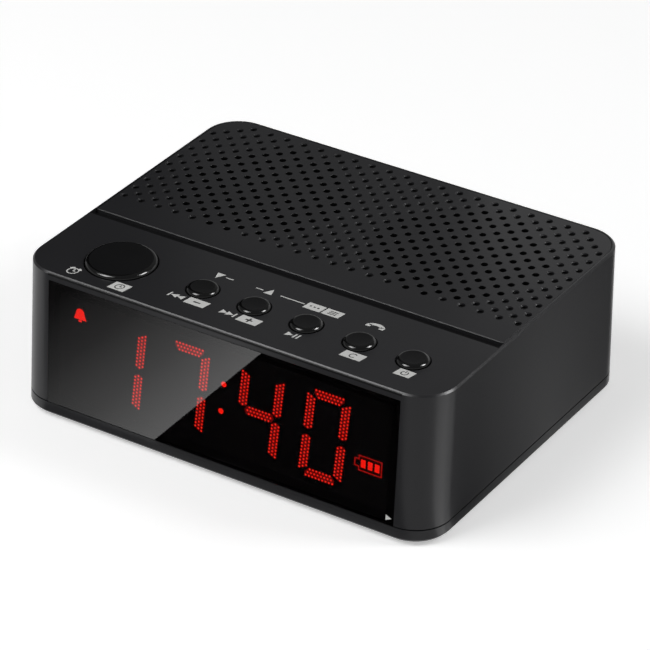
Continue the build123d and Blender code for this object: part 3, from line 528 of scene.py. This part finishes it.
def strokeEnds(row, length, outer, mitred):
    # where a row of dots stops: an end is pointed, as the reach falls with the distance from the middle row,
    # or cut back on the inner side where two strokes meet at a mitre
    reach = length / 2 - display["pointBack"] - display["pointFall"] * np.abs(row)
    mitre = display["mitreStep"] * row * outer
    return -reach - mitre * mitred[0], reach + mitre * mitred[1]


def strokeDots(length, outer, mitred):  # three rows along x, the middle one half a pitch on
    steps = np.arange(-display["dotReach"], display["dotReach"] + 1)
    gridX, row = np.meshgrid(steps * display["dotPitch"], strokeRows)
    gridX = gridX + (row == 0) * display["dotPitch"] / 2
    first, last = strokeEnds(row, length, outer, mitred)
    inside = (gridX < last) & (gridX > first)
    return np.stack([gridX[inside], row[inside] * display["rowPitch"]], axis=1)


def strokeOutline(length, outer, mitred):  # six-sided plate under the dots
    first, last = strokeEnds(strokeRows, length, outer, mitred)
    edge = strokeRows * (display["rowPitch"] + display["strokeEdge"])
    return np.concatenate([np.stack([last, edge], axis=1), np.stack([first, edge], axis=1)[::-1]])


halfUp = (display["digitHeight"] - display["stroke"]) / 2
halfRun = (display["digitWidth"] - display["stroke"]) / 2
flat, tall = 2 * halfRun - 2 * display["segmentGap"], halfUp - 2 * display["segmentGap"]
segmentPlaces = {  # place, length, upright or not, side that faces out of the figure, which ends are mitred
    "a": (0, halfUp, flat, False, 1, (1, 1)),
    "b": (halfRun, halfUp / 2, tall, True, 1, (0, 1)),
    "c": (halfRun, -halfUp / 2, tall, True, 1, (1, 0)),
    "d": (0, -halfUp, flat, False, -1, (1, 1)),
    "e": (-halfRun, -halfUp / 2, tall, True, -1, (1, 0)),
    "f": (-halfRun, halfUp / 2, tall, True, -1, (0, 1)),
    "g": (0, 0, flat, False, 0, (0, 0)),
}
slope = math.tan(math.radians(display["slant"]))
digitCentres = [display["shift"] + side * display["pairPitch"] / 2 + half * display["digitPitch"] / 2
                for side in (-1, 1) for half in (-1, 1)]
dots, plates = [], []
for figure, centreX in zip(display["shown"], digitCentres):
    for segment in litSegments[figure]:
        x, y, length, standing, outer, mitred = segmentPlaces[segment]
        for shape, kept in ((strokeDots, dots), (strokeOutline, plates)):
            spots = shape(length, outer, mitred)
            spots = spots[:, ::-1] if standing else spots
            up = y + spots[:, 1]
            kept.append(np.stack([centreX + x + spots[:, 0] + up * slope, up - display["drop"]], axis=1))
litPlates("lit_strokes", plates, display["strokeFront"], display["strokeGlow"])
dots = np.concatenate(dots)
points, faces, glow = domes(dots, display["dotRadius"], display["dotBack"], display["dotFront"])
addPiece("lit_figures", onFront(points), faces, "case", "led_red", ledRed, dotGlow=glow)

mark = {"colonHeights": (5.4, -3.2), "colonRadius": 0.85, "colonSides": 20, "cellGlow": 0.5,
        "lineGlow": 0.12}
battery = {"place": (49.1, -3.93), "size": (7.2, 4.5), "tipSize": (1.3, 2.2), "line": 0.38,
           "cellSize": (1.5, 2.5), "cellPitch": 2.2}
bell = {"place": (-47.7, 11.4), "size": (4.2, 4.6), "crownRadius": 0.34, "crownUp": 0.12, "crownSteps": 11,
        "skirtDown": 0.32, "clapperDown": 0.42, "clapperSize": (0.26, 0.12)}
# the bell's crown, skirt and clapper are shares of its size


def rectangle(x, y, width, height):  # four corners about a middle, from the lower left and anticlockwise
    return np.array([[-1, -1], [1, -1], [1, 1], [-1, 1]]) * [width / 2, height / 2] + [x, y]


batteryX, batteryY = battery["place"][0], battery["place"][1] - display["drop"]
halfWidth, halfHeight = np.array(battery["size"]) / 2
tipX, tipHalf = -halfWidth - battery["tipSize"][0], battery["tipSize"][1] / 2
outline = np.array([(halfWidth, -halfHeight), (halfWidth, halfHeight), (-halfWidth, halfHeight),
                    (-halfWidth, tipHalf), (tipX, tipHalf), (tipX, -tipHalf), (-halfWidth, -tipHalf),
                    (-halfWidth, -halfHeight)]) + [batteryX, batteryY]
strips = []
for start, stop in zip(outline, np.roll(outline, -1, axis=0)):  # thin strip along each side of the outline
    middle, reach = (start + stop) / 2, np.abs(stop - start)
    strips.append(rectangle(*middle, *(reach + battery["line"])))
litPlates("lit_outline", strips, display["dotFront"], mark["lineGlow"])

ring = np.radians(np.arange(mark["colonSides"]) * 360 / mark["colonSides"])
plans = [np.stack([display["shift"] + up * slope + mark["colonRadius"] * np.cos(ring),
                   up - display["drop"] + mark["colonRadius"] * np.sin(ring)], axis=1)
         for up in mark["colonHeights"]]
plans += [rectangle(batteryX + step * battery["cellPitch"], batteryY, *battery["cellSize"])
          for step in (-1, 0, 1)]
bellX, bellY = bell["place"][0], bell["place"][1] - display["drop"]
bellWidth, bellHeight = bell["size"]
sweep = np.linspace(0, math.pi, bell["crownSteps"])
crownRadius = bellWidth * bell["crownRadius"]
crown = np.stack([crownRadius * np.cos(sweep),
                  bellHeight * bell["crownUp"] + crownRadius * np.sin(sweep)], axis=1)
skirt = np.array([[-0.5, -bell["skirtDown"]], [0.5, -bell["skirtDown"]]]) * [bellWidth, bellHeight]
plans.append(np.concatenate([crown, skirt]) + [bellX, bellY])
plans.append(rectangle(bellX, bellY - bellHeight * bell["clapperDown"], bellWidth * bell["clapperSize"][0],
                       bellHeight * bell["clapperSize"][1]))
litPlates("lit_marks", plans, display["dotFront"], mark["cellGlow"])
print("display:", len(dots), "dots")


# Deck prints: thin pads of ink beside the buttons

ink = {"lift": 0.025, "sink": 0.02, "rowFront": -6.75, "rowBack": 8.95, "rowSnooze": -11.4, "lean": 0.18,
       "line": 0.36, "fine": 0.28, "stripe": 0.5, "wing": 130, "arcSteps": 14}
# pad-printed ink: flat and slightly chalky
inkGrey = mottled("padPrintedInkGrey", "#cfcfcd", "#dadad8", roughness=0.6, spread=0.04, grain=0.4,
                  depth=0.004, patch=6)
inkDark = mottled("padPrintedInkDark", "#1a1a1a", "#202020", roughness=0.6, spread=0.04, grain=0.4,
                  depth=0.004, patch=6)


def leaned(x, y, outline):  # slants an outline as the printing does, and places it on the deck
    outline = np.asarray(outline, dtype=float)
    return np.stack([x + outline[:, 0] + outline[:, 1] * ink["lean"], y + outline[:, 1]], axis=1)


def block(width, height):  # rectangle about the mark's own place
    return rectangle(0, 0, width, height)


def triangle(size, turn):  # points along turn, with its other corners wing degrees to both sides
    corner = np.radians(turn + np.array([0, ink["wing"], 360 - ink["wing"]]))
    return size * np.stack([np.cos(corner), np.sin(corner)], axis=1)


def arcBand(radius, width, start, stop):  # a band of even width along part of a circle
    sweepAngle = np.radians(np.linspace(start, stop, ink["arcSteps"]))
    way = np.stack([np.cos(sweepAngle), np.sin(sweepAngle)], axis=1)
    return np.concatenate([way * (radius + width / 2), way[::-1] * (radius - width / 2)])


line, fine, stripe = ink["line"], ink["fine"], ink["stripe"]
clock = {"box": (5.3, 3.9), "radius": 1.55, "boxedRadius": 1.25, "upHand": (0.3, 0.7),
         "sideHand": (0.25, 0.5), "earRadius": 2.02, "earWidth": 0.56, "earSpan": 38, "earStarts": (32, 112)}


def clockFace(radius, width):  # ring and two hands, whose middle and length are shares of the radius
    (upMiddle, upLength), (sideMiddle, sideLength) = clock["upHand"], clock["sideHand"]
    return [arcBand(radius, width, 0, 180), arcBand(radius, width, 180, 360),
            rectangle(0, radius * upMiddle, width, radius * upLength),
            rectangle(radius * sideMiddle, 0, radius * sideLength, width)]


ears = [arcBand(clock["earRadius"], clock["earWidth"], start, start + clock["earSpan"])
        for start in clock["earStarts"]]
boxedClock, alarmClock = clockFace(clock["boxedRadius"], fine), clockFace(clock["radius"], line) + ears

sign = {"skip": 1.35, "arrow": 1.75, "bar": 2.1, "dash": 2.4, "rule": 8.0, "boxHeight": 3.3, "wideBox": 6.6,
        "playBox": 5.5, "modeBox": 5.0, "minus": 2.2, "plusArm": 0.86, "plusUp": 0.68, "dot": 0.55,
        "dotPitch": 1.2, "listLine": 2.6, "listPitch": 0.7, "ringRadius": 0.95, "ringSpan": (30, 320),
        "switchSpan": (125, 415), "tickUp": 0.75, "tick": 1.0}
leftSkip, rightSkip = triangle(sign["skip"], 180), triangle(sign["skip"], 0)
frontArrow, backArrow = triangle(sign["arrow"], 270), triangle(sign["arrow"], 90)
bar, dash, rule = block(stripe, sign["bar"]), block(sign["dash"], line), block(sign["rule"], line)
wideBox, playBox, modeBox = (block(sign[key], sign["boxHeight"])
                             for key in ("wideBox", "playBox", "modeBox"))
minus = [block(sign["minus"], stripe)]
plus = minus + [rectangle(0, side * sign["plusUp"], stripe, sign["plusArm"]) for side in (1, -1)]
dotRow = [rectangle(step * sign["dotPitch"], 0, sign["dot"], sign["dot"]) for step in (-1, 0, 1)]
lineList = [rectangle(0, step * sign["listPitch"], sign["listLine"], fine) for step in (-1, 0, 1)]
openRing = [arcBand(sign["ringRadius"], fine, *sign["ringSpan"])]
switchMark = [arcBand(sign["ringRadius"], fine, *sign["switchSpan"]),
              rectangle(0, sign["tickUp"], fine, sign["tick"])]

handset = {"radius": 3.2, "width": 1.15, "start": 48, "stop": 132, "earAcross": 2.1, "earUp": 2.0,
           "earSize": (1.4, 1.2), "forward": 1.7}
handle = arcBand(handset["radius"], handset["width"], handset["start"], handset["stop"])
receiver = [handle] + [rectangle(side * handset["earAcross"], handset["earUp"], *handset["earSize"])
                       for side in (-1, 1)]

front, back, snoozeRow = ink["rowFront"], ink["rowBack"], ink["rowSnooze"]
prints = {  # place across and along the deck from the key's centre, pale outlines, dark outlines on them
    "snooze": [(7.5, snoozeRow, [block(*clock["box"])], boxedClock), (-8.6, snoozeRow, alarmClock)],
    "previous": [(-6.4, front, [bar]), (-4.7, front, [leftSkip]), (-2.7, front, [leftSkip]),
                 (2.6, front, [wideBox], minus), (-0.5, back, [frontArrow]), (3.0, back, [dash])],
    "next": [(-5.7, front, [rightSkip]), (-3.7, front, [rightSkip]), (-2.0, front, [bar]),
             (2.8, front, [wideBox], plus), (-4.1, back, [dash]), (-0.7, back, [backArrow]),
             (6.8, back, [rule])],
    "play": [(-1.3, front, [rightSkip]), (0.6, front, [bar]), (1.7, front, [bar]),
             (-3.1, back, [playBox], dotRow), (2.9, back, [playBox], lineList)],
    "call": [(-1.1, back - handset["forward"], receiver), (2.2, front, [wideBox], openRing)],
    "mode": [(1.4, front, [modeBox], switchMark)],
}


def printed(name, layer, low, high, material):
    # all outlines of one layer, each leaned and placed from its key's centre, as prisms between two heights
    plans = []
    for key, rows in prints.items():
        keyX, keyY = middleMm(key + "_button")[:2]
        for x, y, *layers in rows:
            outlines = layers[layer] if layer < len(layers) else []
            plans += [leaned(keyX + x, keyY + y, outline) for outline in outlines]
    points, faces = prisms(plans, low, high)
    addPiece(name, points, faces, "case", "case_black", material)
    return len(plans)


printCount = printed("deck_prints", 0, deckTop - ink["sink"], deckTop + ink["lift"], inkGrey)
printCount += printed("deck_print_marks", 1, deckTop, deckTop + 2 * ink["lift"], inkDark)

# a small pointer at the window's lower right corner
pointer = {"fromRight": 1.7, "fromBottom": 2.1, "size": 1.15, "lift": 0.02}
pointerPlan = triangle(pointer["size"], 0) + [lensHigh[0] - pointer["fromRight"],
                                              (lensLow[2] - lensHigh[2]) / 2 + pointer["fromBottom"]]
points, faces = prisms([pointerPlan], 0, pointer["lift"])
addPiece("window_pointer", onFront(points), faces, "case", "case_black", inkGrey)
print("prints:", printCount + 1)

# a dark strip where the deck's lip meets the front, below the bright edge: painted shade, which climbs a
# little onto the chamfer
# its profile, up and out of the front, runs from the foot of the edge's chamfer down the front
shadeStrip = {"chamfer": 0.5, "climb": 0.22, "fall": 0.55, "lift": 0.012, "sink": 0.5, "cornerRadius": 11.0}
shadeStripHalf = housingHigh[0] - shadeStrip["cornerRadius"]
shadeStripUp = (deckTop - shadeStrip["chamfer"] - lensOrigin[2]) / math.cos(tilt)
shadeStripFoot, shadeStripTop = shadeStripUp - shadeStrip["fall"], shadeStripUp + shadeStrip["climb"]
shadeStripIn = shadeStrip["climb"] * (1 - display["lean"])
profile = [(shadeStripFoot, -shadeStrip["sink"]), (shadeStripFoot, shadeStrip["lift"]), (shadeStripUp, shadeStrip["lift"]),
           (shadeStripTop, shadeStrip["lift"] - shadeStripIn), (shadeStripTop, -shadeStrip["sink"])]
points, faces = prisms([profile], -shadeStripHalf, shadeStripHalf)
# the strip of painted shade, in the dark etched finish
addPiece("front_painted_shade", onFront(points[:, [2, 0, 1]]), faces, "case", "case_black", capAndShadeAbs)

# a darker, duller strip on the floor of the channel in front of the grille: painted shade of the channel
channel = {"width": 3.0, "depth": 1.2, "sink": 0.05, "lift": 0.02}
channelFloor = deckTop - channel["depth"]
points, faces = prisms([rectangle(0, panelFront - channel["width"] / 2, 2 * panelHalf, channel["width"])],
                       channelFloor - channel["sink"], channelFloor + channel["lift"])
addPiece("channel_painted_shade", points, faces, "case", "case_black", capAndShadeAbs)
print("seam and channel:", round(2 * shadeStripHalf, 1), "and", round(2 * panelHalf, 1), "mm long")


# Stage: pale floor, soft lights, white surroundings, camera at the photograph's angle

def stagePlane(name, corners, material):  # one flat face through its corners in mm, no part of the object
    mesh = bpy.data.meshes.new(name)
    mesh.from_pydata((np.asarray(corners, dtype=float) * mm).tolist(), [], [list(range(len(corners)))])
    mesh.materials.append(material)
    plane = bpy.data.objects.new(name, mesh)
    scene.collection.objects.link(plane)
    return plane


floor = {"reach": 3000, "tone": "#f6f6f6", "lift": 0.42}
# pressed white paper: the eye and shiny surfaces see it as white, and the object's shadow stays on it
floorPaper, tree, shader = newMaterial("pressedPaperWhite", Base_Color=linear(floor["tone"]), Roughness=0.9,
                                       Specular_IOR_Level=0.0, Emission_Color=white)
ray = addNode(tree, "ShaderNodeLightPath")
seen = ray.outputs["Is Camera Ray"]
for rayKind in ("Is Glossy Ray", "Is Transmission Ray"):
    either = addNode(tree, "ShaderNodeMath", links={0: seen, 1: ray.outputs[rayKind]}, operation="MAXIMUM")
    seen = either.outputs["Value"]
lift = addNode(tree, "ShaderNodeMath", {1: floor["lift"]}, {0: seen}, operation="MULTIPLY")
tree.links.new(lift.outputs["Value"], shader.inputs["Emission Strength"])
floorPlan = rectangle(0, 0, 2 * floor["reach"], 2 * floor["reach"])
stagePlane("floor", [(x, y, 0) for x, y in floorPlan], floorPaper)

cardHeight = 0.3  # of the floor cards above the floor
dull = {"Base_Color": black, "Roughness": 1.0, "Specular_IOR_Level": 0.0}


def glossyOnly(card):  # only shiny surfaces see it
    card.visible_camera = False
    card.visible_diffuse = False
    card.visible_transmission = False
    card.visible_shadow = False


def standingCard(name, card, material):  # an upright card at one depth, from left to right and bottom to top
    ends = (("left", "bottom"), ("right", "bottom"), ("right", "top"), ("left", "top"))
    glossyOnly(stagePlane(name, [(card[side], card["y"], card[height]) for side, height in ends], material))


def floorCard(name, corners, strength, start=(0, 0), way=(1, 0), length=100, stops=((0, 1), (1, 1))):
    # a card on the floor: how far a point lies from start along way, as a share of length, sets its light
    material, tree, shader = newMaterial(name, Emission_Strength=strength, **dull)
    way = np.array(way) / np.linalg.norm(way) / (length * mm)
    place = addNode(tree, "ShaderNodeTexCoord").outputs["Object"]
    shifted = addNode(tree, "ShaderNodeVectorMath", {1: (start[0] * mm, start[1] * mm, 0)}, {0: place},
                      operation="SUBTRACT")
    along = addNode(tree, "ShaderNodeVectorMath", {1: (*way.tolist(), 0)}, {0: shifted.outputs["Vector"]},
                    operation="DOT_PRODUCT")
    ramp = addNode(tree, "ShaderNodeValToRGB", links={"Fac": along.outputs["Value"]})
    for stop, _ in stops[1:-1]:
        ramp.color_ramp.elements.new(stop)
    for element, (stop, level) in zip(ramp.color_ramp.elements, stops):
        element.position = stop
        element.color = (level, level, level, 1)
    tree.links.new(ramp.outputs["Color"], shader.inputs["Emission Color"])
    glossyOnly(stagePlane(name, [(x, y, cardHeight) for x, y in corners], material))


# black cloth behind the left end: the deck grows darker towards it
flag = {"y": 100, "left": -420, "right": -118, "bottom": 48, "top": 420}
blackCloth = newMaterial("wovenBlackCloth", **dull)[0]
standingCard("flagBackLeft", flag, blackCloth)
# white card behind the right end: the grille grows paler towards it
sheet = {"y": 82, "left": 4, "right": 90, "bottom": 52, "top": 104, "strength": 0.7}
whiteCard = newMaterial("pressedCardWhite", Emission_Color=white, Emission_Strength=sheet["strength"],
                        **dull)[0]
standingCard("cardBackRight", sheet, whiteCard)

# corners that floor cards share
footLeft, footRight = (-62, -56.5), (66, -56.5)
frontLeft, frontRight = (-66.2, -62.2), (63.6, -62.2)
farMiddle, wedgeFoot, wedgeEnd = (-85, -420), (68, -46), (171, -79)
floorCards = {
    # dark in front of the window, with a pale sheet that ends along a slanting line and fades to the left
    "cardFront": {"corners": [(-540, -420), farMiddle, frontRight, frontLeft], "strength": 2.0,
                  "start": (-26.1, -63.2), "way": (-68.9, 9.2), "length": 92,
                  "stops": [(0, 0), (0.001, 1), (0.25, 0.5), (0.5, 0.19), (0.75, 0.036), (1, 0)]},
    # close to the foot, where only the base mirrors it: dark before the pale sheet, dim grey beside it
    "cardFoot": {"corners": [frontLeft, frontRight, footRight, footLeft], "strength": 0.3,
                 "start": footLeft, "length": 128, "stops": [(0, 0), (0.26, 0), (0.32, 1), (1, 1)]},
    # dim grey beside the dark card, for the strip at the right of the window
    "cardFrontRight": {"corners": [footRight, frontRight, farMiddle, (330, -420), wedgeEnd, wedgeFoot],
                       "strength": 0.66},
    # a pale wedge that the round corner at the right shows as an upright band
    "cardCorner": {"corners": [(69.5, -44), wedgeFoot, wedgeEnd, (167, -4)], "strength": 1.9},
    # grey beside the right wall, palest level with the wall's middle
    "cardRight": {"corners": [(70.5, -40), (212, 101), (280, 300), (70.5, 300)], "strength": 0.42,
                  "start": (70.5, -60), "way": (-1.574, 1), "length": 97,
                  "stops": [(0, 0), (0.14, 0.16), (0.41, 0.95), (0.6, 0.45), (1, 0.15)]},
}
for name, card in floorCards.items():
    floorCard(name, **card)

# a white wall all round, and a dim ceiling: the strength falls with the height of the way looked
sky = {"wallTop": 0.08, "ceilingFoot": 0.42, "wall": 0.5, "ceiling": 0.17}
world = bpy.data.worlds.new("surroundings")
scene.world = world
world.use_nodes = True
tree = world.node_tree
background = tree.nodes["Background"]
background.inputs["Color"].default_value = white
skyWay = addNode(tree, "ShaderNodeTexCoord").outputs["Generated"]
skyPart = addNode(tree, "ShaderNodeSeparateXYZ", links={"Vector": skyWay})
level = addNode(tree, "ShaderNodeMapRange",
                {"From Min": sky["wallTop"], "From Max": sky["ceilingFoot"],
                 "To Min": sky["wall"], "To Max": sky["ceiling"]}, {"Value": skyPart.outputs["Z"]})
tree.links.new(level.outputs["Result"], background.inputs["Strength"])

aim = Vector((0, 0, 0.03))  # in metres, inside the clock
lamps = {  # place in metres, size in metres, watts, whether it also lights dull surfaces
    "softboxFrontLeft": ((-0.42, -0.57, 0.92), 0.6, 6.2, True),
    "spotRight": ((0.8, 0.4, 0.8), 0.28, 3.0, True),
    "glintRight": ((0.39, 0.15, 0.4), 0.22, 1.8, False),
    "glintLeft": ((-0.24, -0.33, 0.5), 0.2, 0.8, False),
}
for name, (spot, size, power, everywhere) in lamps.items():
    lamp = bpy.data.lights.new(name, "AREA")
    lamp.size = size
    lamp.energy = power
    holder = bpy.data.objects.new(name, lamp)
    holder.visible_diffuse = everywhere
    holder.location = spot
    holder.rotation_euler = (aim - Vector(spot)).to_track_quat("-Z", "Y").to_euler()
    scene.collection.objects.link(holder)

# degrees and mm, with the focal length and the picture's width in pixels
view = {"azimuth": 32.53, "elevation": 31.1785, "roll": 0.3421, "distance": 1038.69, "across": -0.8794,
        "up": 3.6135, "aimHeight": 26.4, "focal": 3635.02, "picture": 650, "sensor": 36.0}
azimuth, elevation, roll = (math.radians(view[key]) for key in ("azimuth", "elevation", "roll"))
right = np.array([math.cos(azimuth), math.sin(azimuth), 0])
backward = np.array([math.sin(azimuth) * math.cos(elevation), -math.cos(azimuth) * math.cos(elevation),
                     math.sin(elevation)])
upward = np.cross(backward, right)
axes = np.array([math.cos(roll) * right + math.sin(roll) * upward,
                 -math.sin(roll) * right + math.cos(roll) * upward, backward])
eyeFromAim = axes.T @ np.array([-view["across"], -view["up"], view["distance"]])
eye = np.array([0, 0, view["aimHeight"]]) + eyeFromAim
lensData = bpy.data.cameras.new("photoCamera")
lensData.sensor_width = view["sensor"]
lensData.lens = view["focal"] * view["sensor"] / view["picture"]
camera = bpy.data.objects.new("photoCamera", lensData)
pose = np.eye(4)
pose[:3, :3], pose[:3, 3] = axes.T, eye * mm
camera.matrix_world = Matrix(pose.tolist())
scene.collection.objects.link(camera)
scene.camera = camera
scene.view_settings.view_transform = "Standard"
print("stage: camera at", (eye * mm).round(3).tolist())
